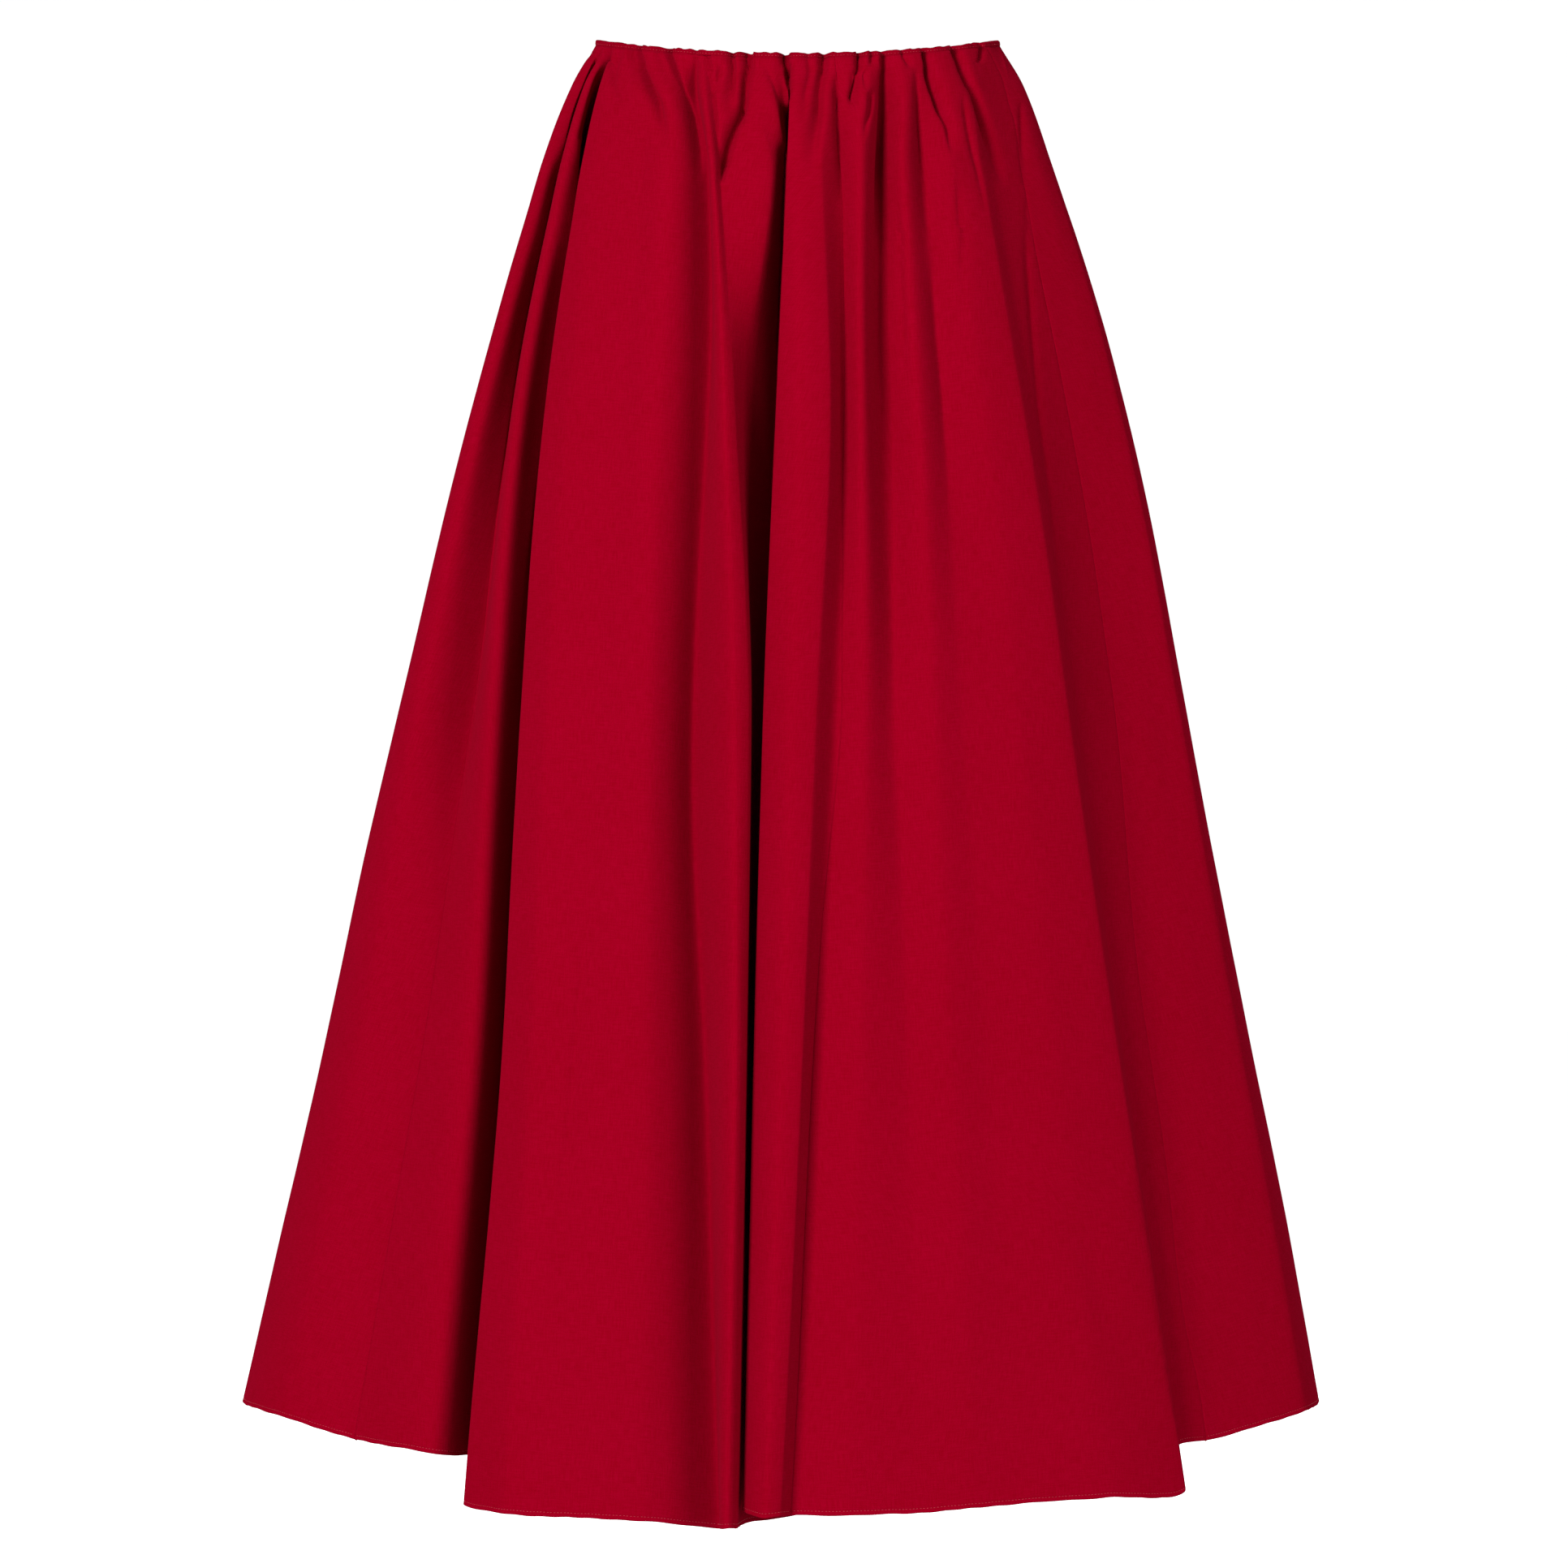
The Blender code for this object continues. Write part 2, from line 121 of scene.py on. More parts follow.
# Fold lines round the skirt: percent across at the six stations, millimetres out at the last five,
# length down to the hem as seen, and how round the turn is
frontFolds = {
    "leftOutline": (-100, -100, -100, -100, -100, -100, 0, 0, 0, 0, 0, 830, 0.9),
    "leftSide": (-98.5, -98, -97.5, -95.5, -94, -93.5, 3, 5, 8, 6, 5, 839, 0.85),
    "leftSeam": (-96.5, -93.4, -90.4, -82.6, -80.0, -80.0, -36, -44, -44, -22, -18, 853.5, 0.3),
    "leftRidge": (-94.2, -90.7, -87.6, -77.8, -69.6, -65.5, 2, -2, -8, -12, -14, 862.5, 0.68),
    "leftPocket": (-92.4, -86.9, -79.6, -67.5, -60.5, -54.0, -46, -62, -72, -86, -88, 868, 0.4),
    "leftEdge": (-90.4, -85.4, -80.6, -71.2, -64, -60.2, 4, 4, -1, -6, -10, 894, 0.35),
    "leftBand": (-86, -80.6, -73.5, -64.8, -58, -53, 5, 8, 9, 9, 9, 899.5, 0.7),
    "leftCrease": (-72, -62, -56.7, -51.8, -49.3, -49, 2, 3, 5, 7, 8, 900.5, 0.6),
    "leftFlat": (-60.0, -49.9, -44.7, -38.2, -32.6, -28.2, 3, 3, 2, 0, -2, 904, 1.0),
    "leftTrough": (-52.0, -35.5, -29.0, -27.0, -20.0, -14.2, -16, -21, -26, -30, -28, 908.5, 0.35),
    "centreRidge": (-46.7, -33.5, -24.6, -16.4, -13.6, -12.8, 7, 11, 12, 12, 11, 908.5, 0.7),
    "centreLip": (-42, -31, -21.4, -12.6, -11.4, -10.9, 2, 6, 6, 4, 2, 908.5, 0.35),
    "recessFloor": (-31.0, -10.4, -15.8, -11.6, -10.8, -10.3, -2, -14, -26, -22, -18, 907, 0.5),
    "recessDrop": (-15.0, -4.6, -8.4, -9.9, -9.7, -9.2, -14, -32, -48, -42, -32, 905, 0.6),
    "recessPocket": (-9, -1.2, 2, 0.4, 0.6, 1, -32, -62, -72, -68, -60, 898, 0.7),
    "rightEdge": (-3, -4.4, -6.5, -8.9, -9.6, -9.9, 3, 2, -3, -6, -8, 898, 0.35),
    "rightColumn": (2.8, 0.6, 0.5, -1.7, -3.7, -6, 6, 12, 13, 13, 12, 902, 0.8),
    "columnSide": (11, 9.4, 10.2, 4.7, 0.9, -3.2, 5, 9, 11, 10, 8, 901, 0.5),
    "frontSeam": (20.3, 17.4, 14.9, 9.8, 3.3, -1.3, -5, -6, -4, -5, -4, 900.5, 0.45),
    "rightRidge": (32.1, 24.9, 20.2, 17.5, 14.2, 9.7, 6, 7, 3, 1, 0, 900.5, 0.8),
    "rightTrough": (42.3, 33.3, 26.4, 25.9, 24.8, 22.9, -13, -14, -7, -4, -1, 899, 0.6),
    "rightRise": (50.8, 41.7, 38, 35.7, 34.7, 33.8, 4, 4, 2, 1, 0, 896, 0.8),
    "rightGroove": (59.8, 49.4, 45.9, 43.2, 42.4, 41.6, -4, -4, 0, 0, 0, 893.5, 0.7),
    "rightFlat": (72, 61, 58.2, 58.2, 58.6, 59.5, 3, 3, 5, 6, 6, 889.5, 0.8),
    "rightFold": (80.9, 72.5, 69.8, 70.8, 72.4, 74.4, 3, 5, 7, 8, 6, 886, 0.45),
    "rightPocket": (86.0, 76.0, 73.0, 72.8, 72.8, 73.0, -4, -5, -6, -8, -10, 858, 0.7),
    "rightSeam": (94, 88, 83, 82.5, 78.4, 78.5, -6, -10, -14, -14, -12, 854.5, 0.5),
    "rightSide": (98, 95.5, 93.5, 92.5, 91.5, 91, 3, 2, 0, 2, 4, 843, 0.8),
    "rightCorner": (99, 98.6, 98.5, 98.5, 98, 97.5, 10, 18, 24, 26, 28, 836, 0.5),
}
backFolds = {
    "rightOutline": (100, 100, 100, 100, 100, 100, 0, 0, 0, 0, 0, 829.5, 0.9),
    "rightTroughBehind": (99, 98, 97.3, 96.5, 96.2, 96, -2, -5, -9, -11, -13, 826, 0.7),
    "backRightSide": (96.5, 94.2, 93, 91.8, 91.2, 90.6, 2, 5, 7, 8, 9, 828, 0.8),
    "backRightValley": (91, 85.5, 81.5, 76, 73.9, 72, -9, -20, -32, -37, -42, 823, 0.7),
    "backRightEdge": (86, 82.5, 80, 77, 76, 75, 4, 5, 4, 4, 4, 826, 0.6),
    "backRightBand": (76, 71, 68, 65, 64, 63, 3, 6, 8, 9, 10, 824, 0.8),
    "backRightTrough": (62, 56, 52, 48, 46.5, 45, -7, -9, -9, -8, -7, 821, 0.7),
    "backRightRidge": (50, 44, 40, 36, 34.5, 33, 5, 8, 10, 11, 11, 820, 0.8),
    "backRightLip": (41, 34, 29, 25, 23.5, 22, 0, 0, -3, -4, -5, 819, 0.5),
    "backRecess": (35, 30, 27.5, 27, 26.8, 26.5, -14, -34, -48, -51, -54, 815, 0.7),
    "backCentreEdge": (28, 23, 19, 16.5, 15.5, 14.5, 2, 2, -1, -2, -3, 818, 0.6),
    "backCentreBand": (16, 13, 10.5, 8, 7, 6, 4, 7, 9, 10, 10, 818, 0.8),
    "backSeam": (0, 0, 0, -1, -1.5, -2, -4, -4, -2, -1, -1, 817, 0.6),
    "backLeftRidge": (-14, -15, -16, -17.5, -18.2, -19, 5, 7, 7, 7, 6, 817, 0.8),
    "backLeftTrough": (-28, -29, -30, -31, -31.5, -32, -8, -12, -15, -16, -18, 816, 0.6),
    "backLeftRound": (-40, -41, -42, -43, -43.5, -44, 5, 8, 10, 11, 12, 819, 0.8),
    "backLeftFlat": (-58, -57, -56, -55, -55.3, -56, 1, 2, 4, 5, 6, 821, 0.8),
    "backLeftEdge": (-74, -70, -67, -65, -65.3, -66, 3, 4, 5, 5, 6, 824, 0.6),
    "backLeftPocket": (-82, -76, -71, -67, -65.2, -63.5, -10, -24, -38, -42, -46, 822, 0.7),
    "backLeftSide": (-92, -89, -87, -84.5, -83.7, -83, 2, 6, 8, 9, 10, 826, 0.8),
    "leftTroughBehind": (-98, -96.5, -95.4, -94.6, -94.3, -94, -3, -6, -9, -10, -12, 825, 0.7),
}
folds = {**frontFolds, **backFolds}
foldNames = list(folds)
foldTable = np.array(list(folds.values()), float)
isFront = np.arange(len(folds)) < len(frontFolds)
openShares = np.array([opening.get(name, opening["usual"]) for name in foldNames])


def curveThrough(at, values, x):
    # A smooth curve through the rows of values that never swings past them
    at, values = np.asarray(at, float), np.asarray(values, float)
    rates = np.diff(values, axis=0) / np.diff(at)[:, None]
    both = rates[:-1] + rates[1:]
    inner = 2 * rates[:-1] * rates[1:] / np.where(both == 0, 1, both)
    inner = np.where(rates[:-1] * rates[1:] > 0, inner, 0)
    slopes = np.vstack([rates[:1], inner, rates[-1:]])
    i = np.clip(np.searchsorted(at, x, side="right") - 1, 0, len(at) - 2)
    width = (at[i + 1] - at[i])[:, None]
    s = ((x - at[i]) / width[:, 0])[:, None]
    return (
        values[i] * (1 + 2 * s) * (1 - s) ** 2
        + slopes[i] * width * s * (1 - s) ** 2
        + values[i + 1] * s * s * (3 - 2 * s)
        + slopes[i + 1] * width * s * s * (s - 1)
    )


def fromEye(seen, eye, depth):
    # The real place of something seen at this place, from how far behind the waist it lies
    return eye + (seen - eye) * (view["distance"] + depth) / view["distance"]


def seenAcross(points):
    spread = view["distance"] / (view["distance"] + points[..., 1])
    return view["across"] + (points[..., 0] - view["across"]) * spread


def depthsAt(across, out, halves):
    oval = np.sqrt(np.clip(1 - across**2, 0, 1))
    return np.where(isFront, -halves[:, 2:3] * oval - out, halves[:, 3:4] * oval + out)


def foldLines(heights):
    # Where each fold line passes each height: rows by lines by x, y, z
    shares = foldTable[:, :6].T / 100
    hipOut = foldTable[:, 6] * mm
    outs = np.vstack([0 * hipOut, hipOut * openShares, foldTable[:, 6:11].T * mm])
    halves = curveThrough(list(sections), list(sections.values()), heights) * mm
    across = curveThrough(stations, shares, heights)
    depth = depthsAt(across, curveThrough(outStations, outs, heights), halves)
    x = fromEye(across * np.where(across < 0, halves[:, :1], halves[:, 1:2]), view["across"], depth)
    topHalves = np.array([sections[0.0]]) * mm
    hemHalves = np.array([sections[1.0]]) * mm
    edge = cloth["edgeFront"] + cloth["edgeRise"] * shares[0] ** 2
    edge = fromEye(edge, view["height"], depthsAt(shares[0], outs[0], topHalves)[0])
    top = np.where(isFront, edge, cloth["edgeBack"])
    hemDepth = depthsAt(shares[-1], outs[-1], hemHalves)[0]
    hem = fromEye(-foldTable[:, 11] * mm, view["height"], hemDepth)
    z = top + (hem - top) * heights[:, None]
    return np.stack([x, depth, z], axis=2)


def columnCounts():
    lines = foldLines(np.array([0.085, 1.0]))
    chords = np.linalg.norm(np.roll(lines, -1, axis=1) - lines, axis=2)
    counts = np.maximum(chords[0] / cloth["columnAtHip"], chords[1] / cloth["columnAtHem"])
    return np.maximum(np.rint(counts), 4).astype(int)


def evenCloth(heights, counts):
    # The cloth with its folds and no gathers: a smooth closed row of points at each height
    lines = foldLines(heights)
    ahead = np.roll(lines, -1, axis=1) - lines
    length = np.linalg.norm(ahead, axis=2, keepdims=True)
    ahead = ahead / length
    turn = ahead + np.roll(ahead, 1, axis=1)
    turn = turn / np.linalg.norm(turn, axis=2, keepdims=True) * foldTable[:, 12:13]
    stretches = []
    for i, count in enumerate(counts):
        j = (i + 1) % len(counts)
        even = np.arange(count) / count
        eased = (1 - np.cos(np.pi * even)) / 2
        s = (even + cloth["columnEase"] * (eased - even))[None, :, None]
        stretches.append(
            lines[:, i:i + 1] * (1 + 2 * s) * (1 - s) ** 2
            + turn[:, i:i + 1] * length[:, i:i + 1] * s * (1 - s) ** 2
            + lines[:, j:j + 1] * s * s * (3 - 2 * s)
            + turn[:, j:j + 1] * length[:, i:i + 1] * s * s * (s - 1)
        )
    return np.concatenate(stretches, axis=1)


def normalsOf(grid):
    along = np.roll(grid, -1, axis=1) - np.roll(grid, 1, axis=1)
    down = np.gradient(grid, axis=0)
    normal = np.cross(down, along)
    return normal / np.linalg.norm(normal, axis=2, keepdims=True)


def outwardOf(grid, heights):
    # Level directions straight out from the even oval
    halves = curveThrough(list(sections), list(sections.values()), heights) * mm
    wide = np.where(grid[..., 0] < 0, halves[:, :1], halves[:, 1:2])
    deep = np.where(grid[..., 1] < 0, halves[:, 2:3], halves[:, 3:4])
    out = np.stack([grid[..., 0] / wide ** 2, grid[..., 1] / deep ** 2, 0 * wide], axis=2)
    return out / np.linalg.norm(out, axis=2, keepdims=True)


# Gathers and creases placed one by one. Each is a line of (across, down) points as seen, in millimetres
# from the waist's middle, then its depth, its widths to the left and the right, and how much
# wider it is at its lower end, and perhaps the share of its length after which it fades.
# A negative depth is a ridge.
gathers = [
    ([(-122.5, -2), (-126.5, 7), (-131.5, 17), (-135.5, 27), (-139.5, 37), (-142.5, 47), (-146.5, 67),
      (-150, 90)], 3.0, (4.0, 3.0), 1.3, 0.7),
    ([(-114.5, 0), (-118.5, 12), (-123, 27), (-126.5, 42), (-130.5, 57), (-134, 67), (-138.5, 92)],
     8.5, (2.2, 1.0), 1.8),
    ([(-7, 0), (-5, 15), (-5, 25), (-6, 37), (-8, 67), (-9.5, 100)], 10.4, (2.4, 1.0), 1.8),
    ([(-117, -4), (-114, 22), (-112, 40)], 2.9, (1.9, 1.9), 2.0),
    ([(-107.5, -2), (-112.5, 14), (-115, 26)], 2.5, (1.9, 1.9), 1.6),
    ([(-104, -2), (-102.5, 12), (-101.5, 22)], 3.1, (1.9, 2.6), 1.8),
    ([(-100, 0), (-97.5, 12), (-94, 21), (-90, 30), (-87.5, 37), (-83.5, 55), (-81.5, 65)],
     9.0, (2.6, 2.6), 1.8),
    ([(-87.5, 0), (-83.5, 12), (-80.5, 22)], 2.9, (1.6, 2.2), 1.6),
    ([(-80.5, 0), (-78.5, 8), (-75.5, 16), (-72.5, 25), (-69.5, 32), (-66.5, 41), (-64, 50), (-61.5, 62),
      (-60, 82)], 9.5, (3.3, 1.8), 1.7),
    ([(-63.5, 0), (-63, 27), (-62, 42)], 3.1, (2.2, 2.2), 1.8),
    ([(-56, 1), (-54.5, 12), (-52.5, 27), (-51, 42), (-50.5, 62), (-49.5, 73), (-46.5, 98)],
     4.5, (2.6, 1.1), 1.4),
    ([(-48, 4), (-49.5, 17), (-52, 29)], 3.5, (1.4, 1.8), 1.4),
    ([(-41.5, 0), (-41.5, 22), (-42.5, 40)], 8.0, (2.4, 1.6), 1.5),
    ([(-31, 0), (-32, 12), (-33, 22), (-34, 32), (-36, 40), (-39, 47), (-42.5, 56), (-45, 65), (-47, 74),
      (-48, 84)], 12.0, (3.4, 1.7), 1.1, 0.85),
    ([(-34.3, 34), (-34.5, 46)], 2.9, (1.4, 1.4), 1.2),
    ([(-21, 4), (-16.5, 14), (-13.5, 22), (-10.5, 32), (-9, 40)], 2.0, (1.8, 2.2), 1.3),
    ([(-9, 0), (-6.5, 12), (-6, 22)], 5.6, (1.4, 1.4), 1.2),
    ([(6, 0), (7.5, 12), (5.5, 22), (3.5, 37), (2.5, 47)], 3.0, (1.8, 1.8), 1.5),
    ([(16.5, 0), (15, 14), (14, 27), (13, 42), (11, 57), (8.5, 76)], 8.8, (3.4, 1.5), 1.8),
    ([(23.5, 10), (24, 22), (24.5, 42), (25.5, 57), (26.5, 72), (27, 97)], 4.9, (1.4, 1.4), 2.2),
    ([(38, -2), (37, 9), (35.5, 19), (33.5, 29), (32.5, 37)], 8.0, (1.8, 1.4), 1.2, 0.75),
    ([(45, 0), (45.5, 7)], 3.9, (1.3, 1.3), 1.2),
    ([(40.5, 8), (41.5, 19), (42.5, 24)], 3.1, (1.3, 1.3), 1.2),
    ([(45.5, 22), (44.5, 37), (42, 47), (40, 58)], 3.5, (1.9, 1.6), 1.5),
    ([(52.5, -3), (52, 17), (51, 37), (50, 57), (49, 77), (48.5, 97), (48, 140)], 7.6, (1.3, 4.0), 2.2),
    ([(62.5, -3), (67, 6), (68.5, 12)], 3.1, (1.3, 1.6), 1.2),
    ([(72.5, 7), (73.5, 22), (74, 42), (75, 57), (76.5, 72), (78.5, 97), (82, 130)], 4.2, (2.2, 1.3), 1.8),
    ([(77.5, -3), (79, 7), (81, 17), (83.5, 24), (86, 32), (88.5, 40), (91.5, 46), (93.5, 51),
      (95.5, 70)], 9.5, (1.5, 2.0), 1.5),
    ([(97.5, 0), (100, 7), (103, 14), (106.5, 22), (109.5, 29), (111.5, 37), (114, 47), (116.5, 57),
      (119.5, 67), (122.5, 79), (126, 94)], 9.0, (3.2, 1.9), 1.7),
    ([(101, 27), (102.5, 39), (104.5, 52), (107.5, 67), (110.5, 79), (113.5, 94), (116, 110)],
     2.0, (1.4, 1.4), 1.6),
    ([(112.5, -2), (111.5, 6), (110, 11)], 6.0, (1.3, 1.3), 1.2),
    ([(119.5, -3), (123.5, 5), (126.5, 14), (128.5, 22), (131, 26)], -0.5, (1.3, 1.4), 1.2),
    ([(136.5, 37), (138, 57), (139.5, 77), (141, 97)], 1.6, (2.2, 2.2), 1.8),
]
creases = [
    # the shade under the edges of the large folds
    ([(-140, 50), (-145, 67), (-159.5, 127), (-174.5, 207), (-190, 317), (-201, 417)], 2.5, (5, 1.8), 1.4),
    ([(-130, 50), (-135, 67), (-146, 127), (-157.5, 207), (-168.5, 317), (-173.5, 417)],
     9.0, (5, 1.2), 1.3),
    ([(-7, 50), (-8, 67), (-10.5, 127), (-14, 207), (-18, 317)], 9.0, (4.5, 1.0), 1.5),
    # soft lines further down the front
    ([(243, 410), (250, 492), (258, 567), (271, 647), (281, 709)], 2.0, (2, 1.4), 1.4),
    ([(-126, 508), (-130, 542), (-135, 592), (-139, 642), (-143, 692), (-149, 742), (-164, 900)],
     1.8, (2, 5), 2.0),
    ([(52, 120), (48.5, 170), (48.5, 200), (51, 230), (53.5, 255)], 1.6, (3, 6), 1.4),
    ([(61, 90), (64.5, 142), (67, 182), (67.5, 217), (66, 240)], 2.6, (3.5, 1.2), 1.4),
    ([(58.5, 267), (61, 317), (62, 367), (58.5, 407), (56, 442), (63.5, 492), (66, 540)],
     1.6, (8, 4), 1.6),
    ([(82, 130), (84.5, 167), (87.5, 192), (91, 242), (94.5, 300)], 2.0, (3, 2), 1.6),
    ([(98.5, 80), (101, 130), (104, 180)], 1.4, (2, 4), 1.5),
    ([(141, 95), (141, 142), (143.5, 167), (146, 202), (148.5, 242), (153.5, 277), (157.5, 317),
      (160, 347), (166, 392)], 1.8, (2, 1.8), 1.6),
    ([(158, 700), (183, 770), (203, 830), (218, 870)], 1.6, (10, 14), 1.6),
    ([(-23, 853), (-23, 905)], 1.0, (1.2, 1.2), 1.2),
]


# How the cloth follows a mark
marking = {
    "fade": 0.5,          # the share of its length after which a mark fades, if it gives none
    "fadePower": 0.9,
    "start": 0.2,         # the share over which one that starts below the rim comes in
    "smooth": [0.1, 0.2, 0.4, 0.2, 0.1],
    "draw": 0.6,          # how strongly the mesh is drawn together at it
    "drawReach": 1.8,     # over how many of its widths
    "round": 0.72,        # how round its bottom is, as a share of its width
}


def lineCrossings(row, arc, side, target):
    # Where along the row its outermost layer passes the target, as a length along the row
    value = {"front": row[:, 0], "back": row[:, 0], "left": row[:, 1], "right": row[:, 1]}[side]
    near = {"front": -row[:, 1], "back": row[:, 1], "left": -row[:, 0], "right": row[:, 0]}[side]
    over = value - target
    crossing = np.nonzero(over[:-1] * over[1:] <= 0)[0]
    if not len(crossing):
        return None
    k = crossing[np.argmax(near[crossing])]
    share = over[k] / (over[k] - over[k + 1]) if over[k] != over[k + 1] else 0
    return arc[k] + share * (arc[k + 1] - arc[k])


def markOnRows(mark, side, seen, arcs, heights, fromRim):
    # The rows that a mark crosses, where it crosses them, its widths and how strong it is there
    points, depth, widths, growth = mark[:4]
    fade = mark[4] if len(mark) > 4 else marking["fade"]
    across, down = np.array(points, float).T * mm
    first, last = max(down[0], 0), down[-1]
    depths = heights * cloth["length"]
    rows = np.nonzero((depths >= first) & (depths <= last))[0]
    found = []
    for r in rows:
        place = lineCrossings(seen[r], arcs[r], side, np.interp(depths[r], down, across))
        if place is not None:
            found.append((r, place))
    if len(found) < 3:
        return None
    rows, places = np.array([r for r, p in found]), np.array([p for r, p in found])
    smooth = np.convolve(np.pad(places, 2, mode="edge"), marking["smooth"], mode="valid")
    t = (depths[rows] - first) / (last - first)
    strength = np.clip((1 - t) / (1 - fade), 0, 1) ** marking["fadePower"]
    if not (fromRim and first < 3 * mm):
        strength = strength * np.clip(t / marking["start"], 0, 1)
    grown = (1 + (growth - 1) * t)[:, None] * mm
    return rows, smooth[:, None], widths[0] * grown, widths[1] * grown, strength[:, None], depth * mm


def gatherColumns(marks, arcs):
    # Draws the columns of the mesh together at each mark, so that sharp folds have enough of them
    moved = arcs.copy()
    for rows, places, left, right, strength, depth in marks:
        away = arcs[rows] - places
        reach = marking["drawReach"] * (left + right) + 1 * mm
        moved[rows] -= marking["draw"] * strength * away * np.exp(-(away / reach) ** 2)
    least = cloth["columnStep"] * np.arange(arcs.shape[1])
    return np.maximum.accumulate(moved - least, axis=1) + least


def reliefOf(marks, arcs):
    # How far the marks draw each point of the cloth in
    drawnIn = np.zeros(arcs.shape)
    for rows, places, left, right, strength, depth in marks:
        away = arcs[rows] - places
        width = np.where(away < 0, left, right) * marking["round"]
        drawnIn[rows] += depth * strength * np.exp(1 - np.sqrt(1 + (away / width) ** 2))
    return drawnIn


# The back, in millimetres
backCloth = {
    "gathers": 27,
    "gatherDepth": 3.0,
    "halfWaist": 122,
    "creases": 11,
    "creaseDepth": 1.8,
}


def backGathers():
    # Even gathers round the back, each a little different from the next
    made = []
    for k in range(backCloth["gathers"]):
        bearing = math.pi * ((k + 0.5 + 0.3 * math.sin(2.4 * k)) / backCloth["gathers"] - 0.5)
        top = backCloth["halfWaist"] * math.sin(bearing)
        reach = 16 + 34 * abs(math.sin(1.9 * k + 0.6)) + (36 if k % 4 == 1 else 0)
        lean = 1 + 0.0026 * reach
        depth = backCloth["gatherDepth"] + 1.6 * math.sin(1.7 * k + 1)
        widths = (1.1 + 0.5 * math.sin(2.1 * k), 1.1 - 0.4 * math.sin(2.1 * k))
        path = [(top, -4), (top * (1 + lean) / 2 + 1.5 * math.sin(k), reach / 2), (top * lean, reach)]
        made.append((path, depth, widths, 1.3 + reach / 80))
    return made


def backCreases():
    made = []
    for k in range(backCloth["creases"]):
        across = -105 + 21 * k + 6 * math.sin(2.2 * k)
        start = 60 + 45 * abs(math.sin(1.3 * k))
        end = start + 130 + 110 * abs(math.sin(2.7 * k + 1))
        spread = 1 + end / 520
        widths = (3 + 1.5 * math.sin(3 * k), 3 - 1.5 * math.sin(3 * k))
        depth = backCloth["creaseDepth"] + 0.7 * math.sin(k)
        made.append(([(across, start), (across * spread, end)], depth, widths, 1.7))
    return made


def resample(grid, arcs, moved):
    # The cloth's points again, at other places along each row
    shifted = np.empty_like(grid)
    for r in range(len(grid)):
        for axis in range(3):
            shifted[r, :, axis] = np.interp(moved[r], arcs[r], grid[r, :, axis])
    return shifted


hemTurn = {
    "drop": 0.25 * mm,
    "roll": 0.5 * mm,
    "inside": 1.05 * mm,
    "height": 4.2 * mm,
    "stitchesAt": 2.4 * mm,       # above the hem's edge
    "stitchPull": 0.28 * mm,      # how far they draw the cloth in
    "stitchReach": 0.45 * mm,     # and how far above and below them
    "ripple": 0.16 * mm,          # how unevenly the edge runs
    "rippleReach": 4 * mm,
}


def clothHeights():
    # Rows of the mesh: close at the waist and at the turned hem
    upper = np.linspace(0, 0.13, 78)
    lower = 0.13 + 0.855 * np.linspace(0, 1, 64)[1:] ** 1.12
    hem = 1 - np.array([11, 8, 6, 4.6, 3.7, 3.1, 2.75, 2.4, 2.05, 1.6, 0.9, 0.3, 0]) * mm / cloth["length"]
    return np.concatenate([upper, lower, hem])


# Bumps to the metre across and down, how strong they are, and where their pattern starts
slowBumps = ((22, 6, 1.0, 0), (60, 17, 0.45, 7))


def undulation(grid):
    # Slow unevenness of hanging cloth, longer down than across
    rows, columns = grid.shape[:2]
    moved = np.zeros((rows, columns))
    for r in range(rows):
        for c in range(columns):
            x, y, z = grid[r, c]
            for wide, tall, strength, shift in slowBumps:
                spot = Vector((x * wide + shift, y * wide, z * tall))
                moved[r, c] += strength * noise.noise(spot)
    return moved


def arcsOf(grid):
    # Length along each row from its first point
    steps = np.linalg.norm(np.diff(grid, axis=1), axis=2)
    return np.concatenate([np.zeros((len(grid), 1)), np.cumsum(steps, axis=1)], axis=1)


def gatherSide(side, grid, heights, above, below):
    # One side of the skirt with its gathers and creases: its points, and how far each is drawn in
    arcs = arcsOf(grid)
    seen = grid.copy()
    if side == "front":
        seen[..., 0] = seenAcross(grid)
    marks = [markOnRows(mark, side, seen, arcs, heights, True) for mark in above]
    marks += [markOnRows(mark, side, seen, arcs, heights, False) for mark in below]
    marks = [mark for mark in marks if mark]
    moved = gatherColumns(marks, arcs)
    return resample(grid, arcs, moved), reliefOf(marks, moved)


